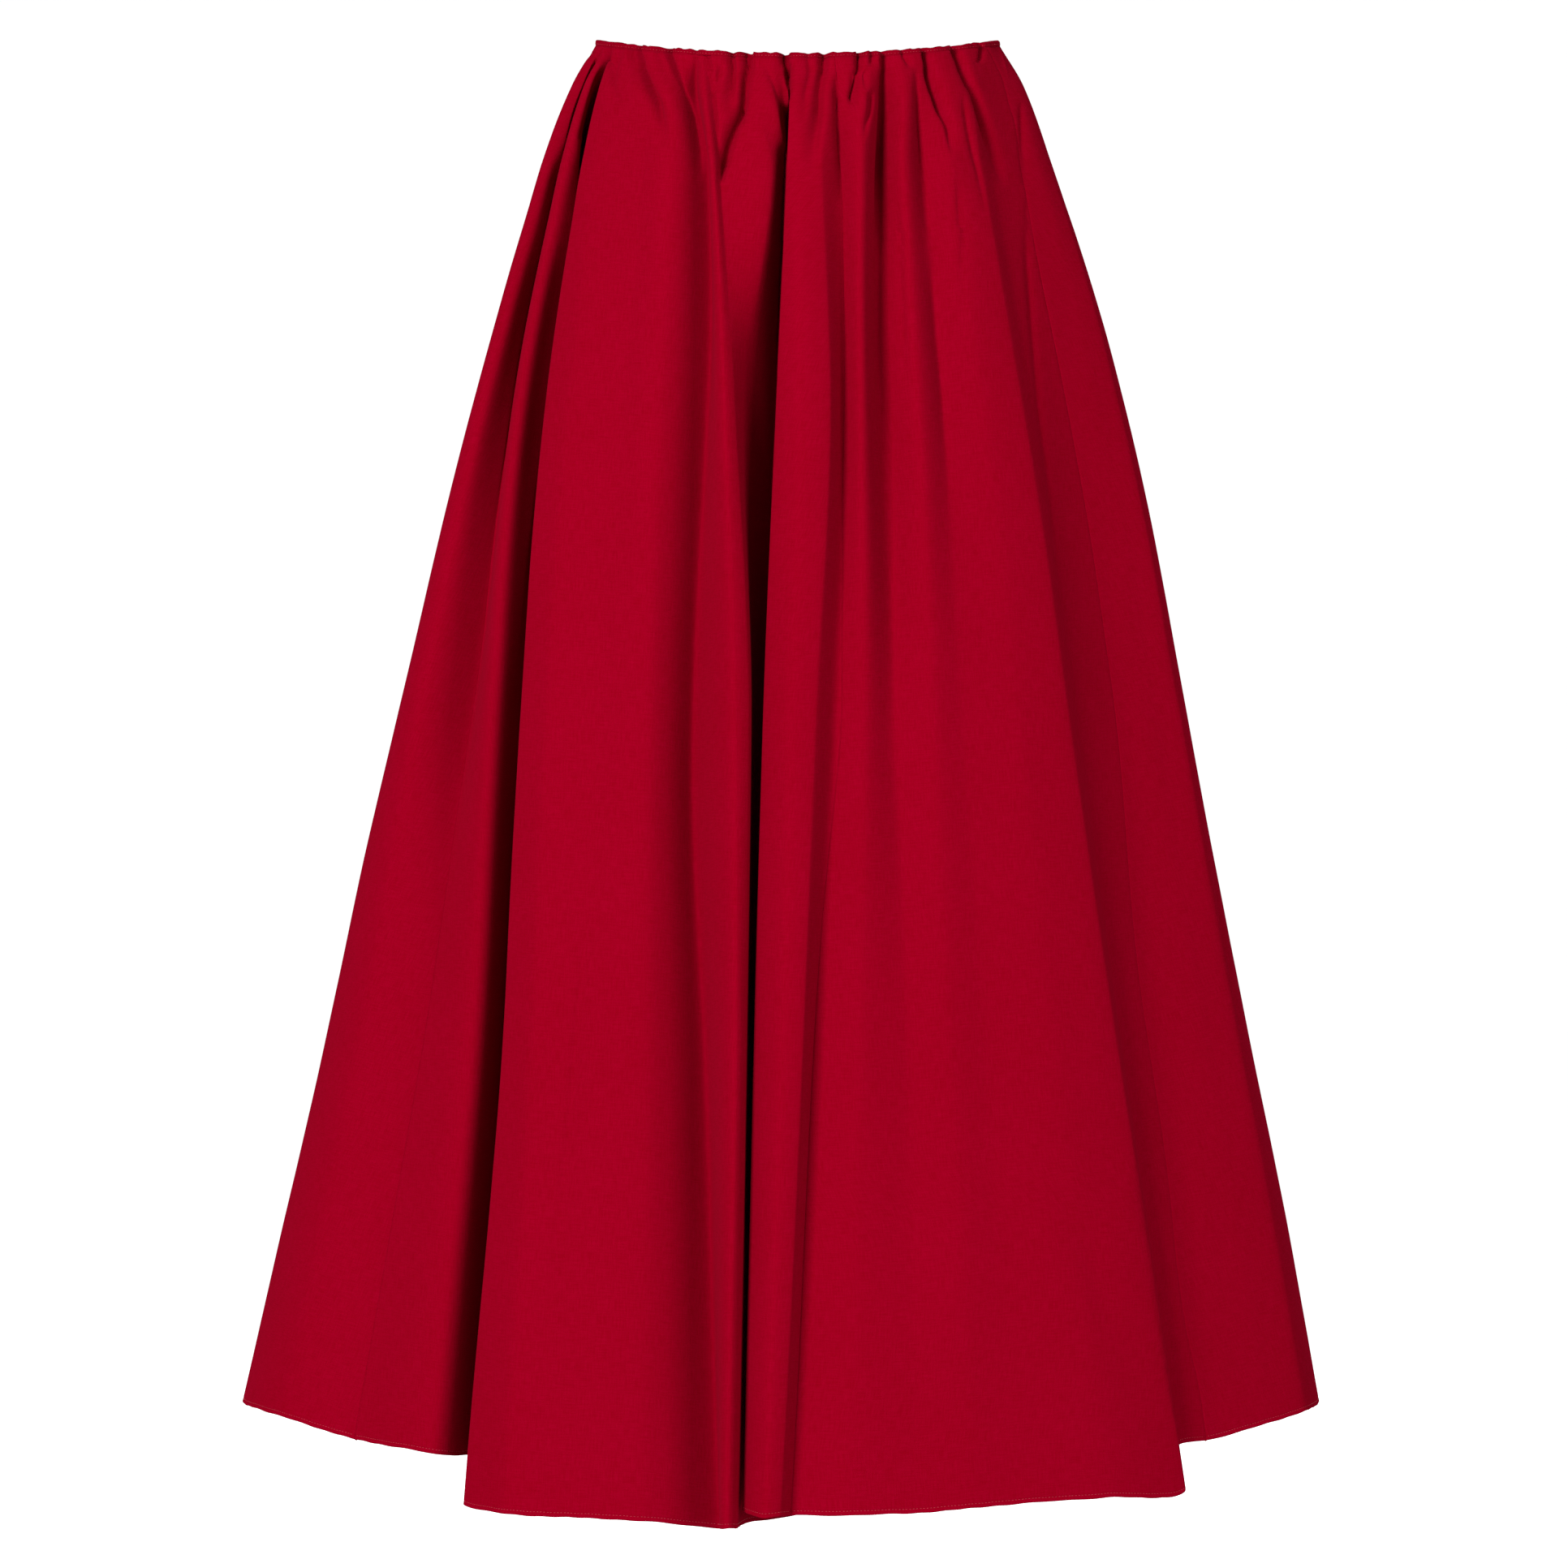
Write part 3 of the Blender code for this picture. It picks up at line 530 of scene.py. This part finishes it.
def shapeCloth():
    heights = clothHeights()
    counts = columnCounts()
    starts = np.concatenate([[0], np.cumsum(counts)])
    grid = evenCloth(heights, counts)
    plain = grid[0].copy()
    front = slice(0, starts[len(frontFolds)])
    back = slice(starts[len(frontFolds)], None)
    drawnIn = np.zeros(grid.shape[:2])
    grid[:, front], drawnIn[:, front] = gatherSide("front", grid[:, front], heights, gathers, creases)
    behind = gatherSide("back", grid[:, back], heights, backGathers(), backCreases())
    grid[:, back], drawnIn[:, back] = behind
    arcs = arcsOf(grid)
    puff = cloth["puff"] * np.clip(1 - heights / cloth["puffEnd"], 0, 1)[:, None]
    calm = np.clip(heights * 14, 0, 1)[:, None]
    moved = puff - drawnIn + cloth["unevenness"] * calm * undulation(grid)
    fromHem = (1 - heights)[:, None] * cloth["length"]
    aside = (fromHem - hemTurn["stitchesAt"]) / hemTurn["stitchReach"]
    moved = moved - hemTurn["stitchPull"] * np.exp(-aside ** 2)
    seamNames = ("leftSeam", "frontSeam", "rightSeam", "backSeam")
    seams = {name: int(starts[foldNames.index(name)]) for name in seamNames}
    for column in seams.values():
        away = np.abs(arcs - arcs[:, column:column + 1]) / cloth["seamWidth"]
        moved = moved - cloth["seamSink"] * np.exp(-away ** 1.2)
    shaped = grid + outwardOf(grid, heights) * moved[..., None]
    # The hem's edge runs a little unevenly where the stitches pull it
    ripple = np.sin(arcs[-1] / (3.1 * mm) + 2.5 * np.sin(arcs[-1] / (23 * mm)))
    ripple = ripple + np.sin(arcs[-1] / (7.7 * mm) + 1)
    shaped[..., 2] += hemTurn["ripple"] * ripple * np.exp(-fromHem / hemTurn["rippleReach"])
    return {
        "grid": shaped,
        "arcs": arcs,
        "heights": heights,
        "seams": seams,
        "plainTop": plain,
        "stitchRow": int(np.argmin(np.abs(fromHem[:, 0] - hemTurn["stitchesAt"]))),
    }


fall = shapeCloth()
print("cloth shaped:", fall["grid"].shape[:2], "rows and columns")


def meshPiece(name, grid, closed, uv, material):
    # A piece of cloth from a grid of points, with its own map in metres
    rows, columns = grid.shape[:2]
    index = np.arange(rows * columns).reshape(rows, columns)
    right = np.roll(index, -1, axis=1)
    last = columns if closed else columns - 1
    quads = np.stack([index[:-1], index[1:], right[1:], right[:-1]], axis=2)[:, :last].reshape(-1, 4)
    mesh = bpy.data.meshes.new(name)
    mesh.from_pydata(grid.reshape(-1, 3).tolist(), [], quads.tolist())
    layer = mesh.uv_layers.new(name="clothMap")
    corners = uv.reshape(-1, 2)[quads.reshape(-1)]
    layer.data.foreach_set("uv", corners.reshape(-1).astype(np.float32))
    mesh.materials.append(material)
    mesh.shade_smooth()
    piece = bpy.data.objects.new(name, mesh)
    scene.collection.objects.link(piece)
    return piece


def thicken(piece, wall):
    bpy.context.view_layer.objects.active = piece
    piece.select_set(True)
    solid = piece.modifiers.new("wall", "SOLIDIFY")
    solid.thickness = wall
    solid.offset = -1
    bpy.ops.object.modifier_apply(modifier=solid.name)
    piece.select_set(False)


# The cloth is a matt red faille with slubby threads, and the casing the same, with darker colours as
# painted shade of its dense ruching
faille = {
    "deep": (0.203, 0.00012, 0.0058),
    "bright": (0.255, 0.0003, 0.0128),
    "diffuseRoughness": 0.2,
    "roughness": 0.5,
    "specular": 0.0,
    "sheen": 0.05,
    "sheenRoughness": 0.5,
    "sheenTint": (0.8, 0.06, 0.15),
    "threads": 1500.0,        # threads to the metre
    "bump": 0.35,
    "bumpDepth": 0.15 * mm,
    "dyePatches": 9.0,        # uneven patches to the metre
    "dyeShare": 0.35,         # how much of the shade they make, the rest being the threads
}
# painted shade: the casing's whole colour is darker than the cloth's, standing in for the shade of its
# dense ruches
ruchedWeaveAndPaintedShade = {
    "threads": 1800.0,
    "deep": (0.165, 0.0001, 0.0052),
    "bright": (0.225, 0.0002, 0.0098),
}
thread = {
    "deep": (0.27, 0.006, 0.02),
    "bright": (0.46, 0.035, 0.055),
    "roughness": 0.5,
    "specular": 0.3,
    "twist": 900.0,
}


def weaveGroup():
    # Slubby warp and weft threads, as a shade from 0 to 1 and a height
    group = bpy.data.node_groups.new("slubWeave", "ShaderNodeTree")
    for name, kind, value in (("Threads", "NodeSocketFloat", 1500.0), ("Slub", "NodeSocketFloat", 14.0)):
        group.interface.new_socket(name=name, in_out="INPUT", socket_type=kind).default_value = value
    group.interface.new_socket(name="Vector", in_out="INPUT", socket_type="NodeSocketVector")
    for name in ("Shade", "Height"):
        group.interface.new_socket(name=name, in_out="OUTPUT", socket_type="NodeSocketFloat")
    nodes, links = group.nodes, group.links
    inside = nodes.new("NodeGroupInput")
    outside = nodes.new("NodeGroupOutput")
    long = nodes.new("ShaderNodeMath")
    long.operation = "DIVIDE"
    links.new(inside.outputs["Threads"], long.inputs[0])
    links.new(inside.outputs["Slub"], long.inputs[1])
    parts = []
    for axis in ("warp", "weft"):
        scale = nodes.new("ShaderNodeCombineXYZ")
        fine, coarse = ("X", "Y") if axis == "warp" else ("Y", "X")
        links.new(inside.outputs["Threads"], scale.inputs[fine])
        links.new(long.outputs[0], scale.inputs[coarse])
        spread = nodes.new("ShaderNodeVectorMath")
        spread.operation = "MULTIPLY"
        links.new(inside.outputs["Vector"], spread.inputs[0])
        links.new(scale.outputs[0], spread.inputs[1])
        threads = nodes.new("ShaderNodeTexNoise")
        threads.inputs["Scale"].default_value = 1.0
        threads.inputs["Detail"].default_value = 1.5
        links.new(spread.outputs[0], threads.inputs["Vector"])
        parts.append(threads.outputs["Fac"])
    both = nodes.new("ShaderNodeMath")
    both.operation = "ADD"
    links.new(parts[0], both.inputs[0])
    links.new(parts[1], both.inputs[1])
    stretch = nodes.new("ShaderNodeMapRange")
    stretch.inputs["From Min"].default_value = 0.75
    stretch.inputs["From Max"].default_value = 1.25
    links.new(both.outputs[0], stretch.inputs["Value"])
    links.new(stretch.outputs[0], outside.inputs["Shade"])
    links.new(stretch.outputs[0], outside.inputs["Height"])
    return group


slubWeave = weaveGroup()


def clothMaterial(name, values):
    made = bpy.data.materials.new(name)
    made.use_nodes = True
    nodes, links = made.node_tree.nodes, made.node_tree.links
    shader = nodes["Principled BSDF"]
    shader.inputs["Diffuse Roughness"].default_value = values["diffuseRoughness"]
    shader.inputs["Roughness"].default_value = values["roughness"]
    shader.inputs["Specular IOR Level"].default_value = values["specular"]
    shader.inputs["Sheen Weight"].default_value = values["sheen"]
    shader.inputs["Sheen Roughness"].default_value = values["sheenRoughness"]
    shader.inputs["Sheen Tint"].default_value = (*values["sheenTint"], 1)
    place = nodes.new("ShaderNodeUVMap")
    place.uv_map = "clothMap"
    weave = nodes.new("ShaderNodeGroup")
    weave.node_tree = slubWeave
    weave.inputs["Threads"].default_value = values["threads"]
    links.new(place.outputs["UV"], weave.inputs["Vector"])
    dye = nodes.new("ShaderNodeTexNoise")
    dye.inputs["Scale"].default_value = values["dyePatches"]
    dye.inputs["Detail"].default_value = 3.0
    links.new(place.outputs["UV"], dye.inputs["Vector"])
    blend = nodes.new("ShaderNodeMath")
    blend.operation = "MULTIPLY_ADD"
    blend.inputs[1].default_value = values["dyeShare"]
    links.new(dye.outputs["Fac"], blend.inputs[0])
    share = nodes.new("ShaderNodeMath")
    share.operation = "MULTIPLY"
    share.inputs[1].default_value = 1 - values["dyeShare"]
    links.new(weave.outputs["Shade"], share.inputs[0])
    links.new(share.outputs[0], blend.inputs[2])
    colour = nodes.new("ShaderNodeMix")
    colour.data_type = "RGBA"
    colour.inputs[6].default_value = (*values["deep"], 1)
    colour.inputs[7].default_value = (*values["bright"], 1)
    links.new(blend.outputs[0], colour.inputs[0])
    links.new(colour.outputs[2], shader.inputs["Base Color"])
    bump = nodes.new("ShaderNodeBump")
    bump.inputs["Strength"].default_value = values["bump"]
    bump.inputs["Distance"].default_value = values["bumpDepth"]
    links.new(weave.outputs["Height"], bump.inputs["Height"])
    links.new(bump.outputs["Normal"], shader.inputs["Normal"])
    return made


redFaille = clothMaterial("redFaille", faille)
redCasing = clothMaterial("redCasing", {**faille, **ruchedWeaveAndPaintedShade})


def threadMaterial():
    made = bpy.data.materials.new("redThread")
    made.use_nodes = True
    nodes, links = made.node_tree.nodes, made.node_tree.links
    shader = nodes["Principled BSDF"]
    shader.inputs["Roughness"].default_value = thread["roughness"]
    shader.inputs["Specular IOR Level"].default_value = thread["specular"]
    place = nodes.new("ShaderNodeTexCoord")
    twist = nodes.new("ShaderNodeTexNoise")
    twist.inputs["Scale"].default_value = thread["twist"]
    twist.inputs["Detail"].default_value = 2.0
    links.new(place.outputs["Object"], twist.inputs["Vector"])
    colour = nodes.new("ShaderNodeMix")
    colour.data_type = "RGBA"
    colour.inputs[6].default_value = (*thread["deep"], 1)
    colour.inputs[7].default_value = (*thread["bright"], 1)
    links.new(twist.outputs["Fac"], colour.inputs[0])
    links.new(colour.outputs[2], shader.inputs["Base Color"])
    return made


redThread = threadMaterial()
print("finishes made")


# Panels from seam to seam, with the flat size and the flat area that each is cut to, in metres
panels = {
    "frontLeftPanel": {
        "node": "front_left_panel",
        "from": "leftSeam",
        "to": "frontSeam",
        "cut": (0.63, 0.90),
        "area": 0.49,
    },
    "frontRightPanel": {
        "node": "front_right_panel",
        "from": "frontSeam",
        "to": "rightSeam",
        "cut": (0.31, 0.89),
        "area": 0.20,
    },
    "backRightPanel": {
        "node": "back_right_panel",
        "from": "rightSeam",
        "to": "backSeam",
        "cut": (0.78, 0.88),
        "area": 0.49,
    },
    "backLeftPanel": {
        "node": "back_left_panel",
        "from": "backSeam",
        "to": "leftSeam",
        "cut": (0.69, 0.88),
        "area": 0.42,
    },
}
stitching = {
    "pitch": 2.05 * mm,
    "length": 1.35 * mm,
    "width": 0.36 * mm,
    "stand": 0.05 * mm,       # how far a stitch's middle stands out of the cloth
    "casingWidth": 0.26 * mm,
    "casingStand": 0.03 * mm,
    "endDip": 0.22 * mm,      # how far its ends dip in
    "sway": 0.12 * mm,        # how unevenly they are spaced
}


def alongPath(values, arc, places):
    # Rows of points or directions at the places along a path
    return np.stack([np.interp(places, arc, values[:, axis]) for axis in range(3)], axis=2)


def stitchLine(name, path, out, stand, size):
    # Short stitches along a line on the cloth, each a small four-sided thread that dips in at both ends
    arc = np.concatenate([[0], np.cumsum(np.linalg.norm(np.diff(path, axis=0), axis=1))])
    count = int((arc[-1] - stitching["pitch"]) / stitching["pitch"])
    k = np.arange(count)
    middles = (k + 1) * stitching["pitch"] + stitching["sway"] * np.sin(2.3 * k)
    along = np.array([-0.5, -0.22, 0.22, 0.5]) * stitching["length"]
    lifts = np.array([-1, 0, 0, -1]) * stitching["endDip"] + stand
    girths = np.array([0.5, 1.0, 1.0, 0.5]) * size / 2
    places = middles[:, None] + along
    centre, away = alongPath(path, arc, places), alongPath(out, arc, places)
    tangent = centre[:, -1:] - centre[:, :1]
    tangent = tangent / np.linalg.norm(tangent, axis=2, keepdims=True)
    away = away / np.linalg.norm(away, axis=2, keepdims=True)
    side = np.cross(away, np.broadcast_to(tangent, away.shape))
    centre = centre + away * lifts[:, None]
    rings = []
    for around in range(4):
        turn = math.pi * (around / 2 + 0.25)
        rings.append(centre + (side * math.cos(turn) + away * 0.8 * math.sin(turn)) * girths[:, None])
    points = np.stack(rings, axis=2).reshape(-1, 3)
    faces = []
    for stitch in range(count):
        first = stitch * 16
        for ring in range(3):
            for corner in range(4):
                a, b = first + ring * 4 + corner, first + ring * 4 + (corner + 1) % 4
                faces.append((a, a + 4, b + 4, b))
        faces.append((first, first + 1, first + 2, first + 3))
        faces.append((first + 15, first + 14, first + 13, first + 12))
    mesh = bpy.data.meshes.new(name)
    mesh.from_pydata(points.tolist(), [], faces)
    mesh.materials.append(redThread)
    mesh.shade_smooth()
    made = bpy.data.objects.new(name, mesh)
    scene.collection.objects.link(made)
    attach(made, "root")
    return made


def sewPanel(name, values):
    grid, arcs = fall["grid"], fall["arcs"]
    around = grid.shape[1]
    first, last = fall["seams"][values["from"]], fall["seams"][values["to"]]
    columns = np.arange(first, last + 1 if last > first else last + around + 1)
    piece = grid[:, columns % around].copy()
    along = arcs[:, columns % around] + np.where(columns >= around, 1, 0) * (
        arcs[:, -1:] + np.linalg.norm(grid[:, 0] - grid[:, -1], axis=1)[:, None]
    )
    tucks = []
    for edge, inner in ((0, 1), (-1, -2)):
        inward = piece[:, inner] - piece[:, edge]
        piece[:, edge] += inward / np.linalg.norm(inward, axis=1)[:, None] * cloth["seamGap"]
        seam = columns[edge] % around
        onward = grid[:, (seam + 1) % around] - grid[:, seam - 1]
        onward = onward / np.linalg.norm(onward, axis=1)[:, None]
        outward = normalsOf(grid)[:, seam]
        rim = piece[:, edge]
        tucks.append([rim + (onward * lean - outward * tuck) * mm for tuck, lean in cloth["seamTucks"]])
    before, after = np.stack(tucks[0][::-1], axis=1), np.stack(tucks[1], axis=1)
    piece = np.concatenate([before, piece, after], axis=1)
    spare = np.array([[1, 2]]) * mm     # the tucks on the cloth's map
    along = np.concatenate([along[:, :1] - spare[:, ::-1], along, along[:, -1:] + spare], axis=1)
    columns = np.concatenate([columns[[0, 0]], columns, columns[[-1, -1]]])
    # The hem turns under and runs back up inside
    normal = normalsOf(grid)[-1, columns % around]
    up = piece[-8] - piece[-1]
    up = up / np.linalg.norm(up, axis=1)[:, None]
    edge = piece[-1]
    turned = [
        edge - up * hemTurn["drop"] - normal * hemTurn["roll"],
        edge + up * hemTurn["drop"] - normal * hemTurn["inside"],
        edge + up * hemTurn["height"] * 0.5 - normal * hemTurn["inside"],
        edge + up * hemTurn["height"] - normal * hemTurn["inside"],
    ]
    piece = np.concatenate([piece, np.array(turned)], axis=0)
    middle = len(columns) // 2
    across = along - along[:, middle:middle + 1]
    across = np.concatenate([across, np.repeat(across[-1:], len(turned), axis=0)], axis=0)
    down = np.repeat((fall["heights"] * cloth["length"])[:, None], len(columns), axis=1)
    extra = down[-1:] + np.array([1, 2, 3, 5])[:, None] * mm       # the turned hem there
    uv = np.stack([across, np.concatenate([down, extra], axis=0)], axis=2)
    made = meshPiece(name, piece, False, uv, redFaille)
    thicken(made, cloth["wall"])
    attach(made, "root")
    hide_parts(values["node"])
    row, inside = fall["stitchRow"], columns[2:-2] % around
    stitches = stitchLine(
        name.replace("Panel", "HemStitches"), grid[row, inside], normalsOf(grid)[row, inside],
        stitching["stand"], stitching["width"],
    )
    print(name, "sewn:", sum(len(face.vertices) - 2 for face in made.data.polygons), "triangles")


for panelName, panel in panels.items():
    sewPanel(panelName, panel)
print("panels sewn")


# The casing over the gathered edge: a ruched rim outside and a plain leaf inside
casing = {
    "height": 3.0 * mm,
    "scallop": 0.45 * mm,     # how far the ruched edge rises and falls
    "fineSway": 0.16 * mm,    # how far its small ruches swing in and out
    "broadSway": 0.14 * mm,   # and its larger ones
    "leafInset": 6.6 * mm,    # how far inside the gathered edge the inner leaf hangs
    "leafWall": 0.9 * mm,
    "leafDepth": 18 * mm,
    "cut": (0.75, 0.028),
    "stitchRow": 11,          # the row of the outer face that is sewn
}


def levelOutward(row):
    # Level directions straight out from a closed row of points
    along = np.roll(row, -1, axis=0) - np.roll(row, 1, axis=0)
    normal = np.stack([along[:, 1], -along[:, 0], 0 * along[:, 0]], axis=1)
    return normal / np.linalg.norm(normal, axis=1)[:, None]


def sewCasing():
    rim, plain = fall["grid"][0], fall["plainTop"]
    out = levelOutward(plain)
    up = np.array([0, 0, 1.0])
    arc = fall["arcs"][0][:, None]
    fine = 0.5 * np.sin(arc / (1.1 * mm) + 3 * np.sin(arc / (11 * mm)))
    fine = fine + 0.4 * np.sin(arc / (0.7 * mm) + 1.3)
    broad = np.sin(arc / (1.5 * mm) + 2.2 * np.sin(arc / (8 * mm)))
    lift = casing["scallop"] * (0.65 * broad + 0.35 * fine)
    high = casing["height"]
    leaf = plain - out * (casing["leafInset"] + 0.25 * mm * fine)
    inner = leaf - out * casing["leafWall"]
    sway = out * (casing["fineSway"] * fine + casing["broadSway"] * broad)
    profile = [
        leaf + up * 0.3 * mm,
        leaf - up * casing["leafDepth"] * 0.45,
        leaf - up * casing["leafDepth"],
        inner - up * casing["leafDepth"],
        inner - up * casing["leafDepth"] * 0.45,
        inner + up * high * 0.5,
        rim * 0.3 + inner * 0.7 + up * (high * 0.86 + lift * 0.5),
        rim * 0.72 + inner * 0.28 + up * (high * 0.98 + lift),
        rim - out * 0.85 * mm + up * (high + lift) + sway,
        rim - out * 0.3 * mm + up * (high * 0.9 + lift * 0.9) + sway,
        rim - out * 0.02 * mm + up * (high * 0.66 + lift * 0.5) + sway,
        rim + out * 0.05 * mm + up * high * 0.34 + sway,
        rim + out * 0.04 * mm - up * 0.05 * mm + sway * 0.3,
        rim - out * 0.02 * mm - up * 0.35 * mm + sway * 0.1,
        rim - out * 0.15 * mm - up * 0.3 * mm,
        rim - out * 1.1 * mm + up * 0.5 * mm,
    ]
    ring = np.array(profile)
    lengths = np.cumsum(np.linalg.norm(np.diff(ring.mean(axis=1), axis=0), axis=1))
    rows = np.concatenate([[0], lengths])[:, None]
    uv = np.stack(np.broadcast_arrays(arc[:, 0][None, :], rows), axis=2)
    return meshPiece("waistCasing", ring, True, uv, redCasing), ring


waistCasing, casingRing = sewCasing()
print("casing sewn")


def closeTube(piece, rows, columns):
    # Joins the last row of a closed ring to its first
    work = bmesh.new()
    work.from_mesh(piece.data)
    work.verts.ensure_lookup_table()
    layer = work.loops.layers.uv["clothMap"]
    for c in range(columns):
        d = (c + 1) % columns
        last = (rows - 1) * columns
        face = work.faces.new([work.verts[last + c], work.verts[c], work.verts[d], work.verts[last + d]])
        face.smooth = True
        for loop in face.loops:
            loop[layer].uv = (fall["arcs"][0][loop.vert.index % columns], 0.05)
    work.normal_update()
    work.to_mesh(piece.data)
    work.free()


closeTube(waistCasing, *casingRing.shape[:2])
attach(waistCasing, "root")
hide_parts("waist_casing")
casingLine = casingRing[casing["stitchRow"]]
casingStitches = stitchLine(
    "casingStitches", casingLine, levelOutward(casingLine),
    stitching["casingStand"], stitching["casingWidth"],
)


# Studio: a pale sweep, a soft key light from the front left, a weak fill from the right, a little from
# above and one light behind
studio = {
    "floor": -1.25,
    "key": {"at": (-2.2, -3.6, 1.2), "size": 1.3, "power": 222},
    "fill": {"at": (2.6, -3.0, -0.1), "size": 1.7, "power": 76},
    "top": {"at": (-1.3, -2.2, 2.2), "size": 1.2, "power": 22},
    "behind": {"at": (0.5, 3.9, 1.0), "size": 1.6, "power": 150},
    "ambient": 0.12,
    "backdrop": 1.02,             # how bright the surroundings look to the camera
    "floorGlow": (0.1, 0.95),     # as a light, and to the camera
    "aim": (0, 0, -0.42),
}


def lightUp():
    target = Vector(studio["aim"])
    for name in ("key", "fill", "top", "behind"):
        values = studio[name]
        bpy.ops.object.light_add(type="AREA", location=values["at"])
        lamp = bpy.context.object
        lamp.name = name + "Light"
        lamp.data.energy = values["power"]
        lamp.data.size = values["size"]
        lamp.rotation_euler = (target - lamp.location).to_track_quat("-Z", "Y").to_euler()
    world = bpy.data.worlds.new("paleStudio")
    world.use_nodes = True
    nodes, links = world.node_tree.nodes, world.node_tree.links
    ambient = nodes["Background"]
    ambient.inputs["Color"].default_value = (1, 1, 1, 1)
    ambient.inputs["Strength"].default_value = studio["ambient"]
    bright = nodes.new("ShaderNodeBackground")
    bright.inputs["Color"].default_value = (1, 1, 1, 1)
    bright.inputs["Strength"].default_value = studio["backdrop"]
    path = nodes.new("ShaderNodeLightPath")
    mix = nodes.new("ShaderNodeMixShader")
    links.new(path.outputs["Is Camera Ray"], mix.inputs[0])
    links.new(ambient.outputs[0], mix.inputs[1])
    links.new(bright.outputs[0], mix.inputs[2])
    links.new(mix.outputs[0], nodes["World Output"].inputs["Surface"])
    scene.world = world


def layFloor():
    # A white sweep: bright to the camera, dimmer as a light
    bpy.ops.mesh.primitive_plane_add(size=30, location=(0, 0, studio["floor"]))
    floor = bpy.context.object
    floor.name = "studioFloor"
    pale = bpy.data.materials.new("paleFloor")
    pale.use_nodes = True
    nodes, links = pale.node_tree.nodes, pale.node_tree.links
    shader = nodes["Principled BSDF"]
    shader.inputs["Base Color"].default_value = (0.5, 0.5, 0.5, 1)
    shader.inputs["Roughness"].default_value = 0.9
    shader.inputs["Specular IOR Level"].default_value = 0.0
    shader.inputs["Emission Color"].default_value = (1, 1, 1, 1)
    path = nodes.new("ShaderNodeLightPath")
    glow = nodes.new("ShaderNodeMapRange")
    glow.inputs["To Min"].default_value = studio["floorGlow"][0]
    glow.inputs["To Max"].default_value = studio["floorGlow"][1]
    links.new(path.outputs["Is Camera Ray"], glow.inputs["Value"])
    links.new(glow.outputs["Result"], shader.inputs["Emission Strength"])
    floor.data.materials.append(pale)


lightUp()
layFloor()
scene.view_settings.view_transform = "Standard"
print("studio lit")
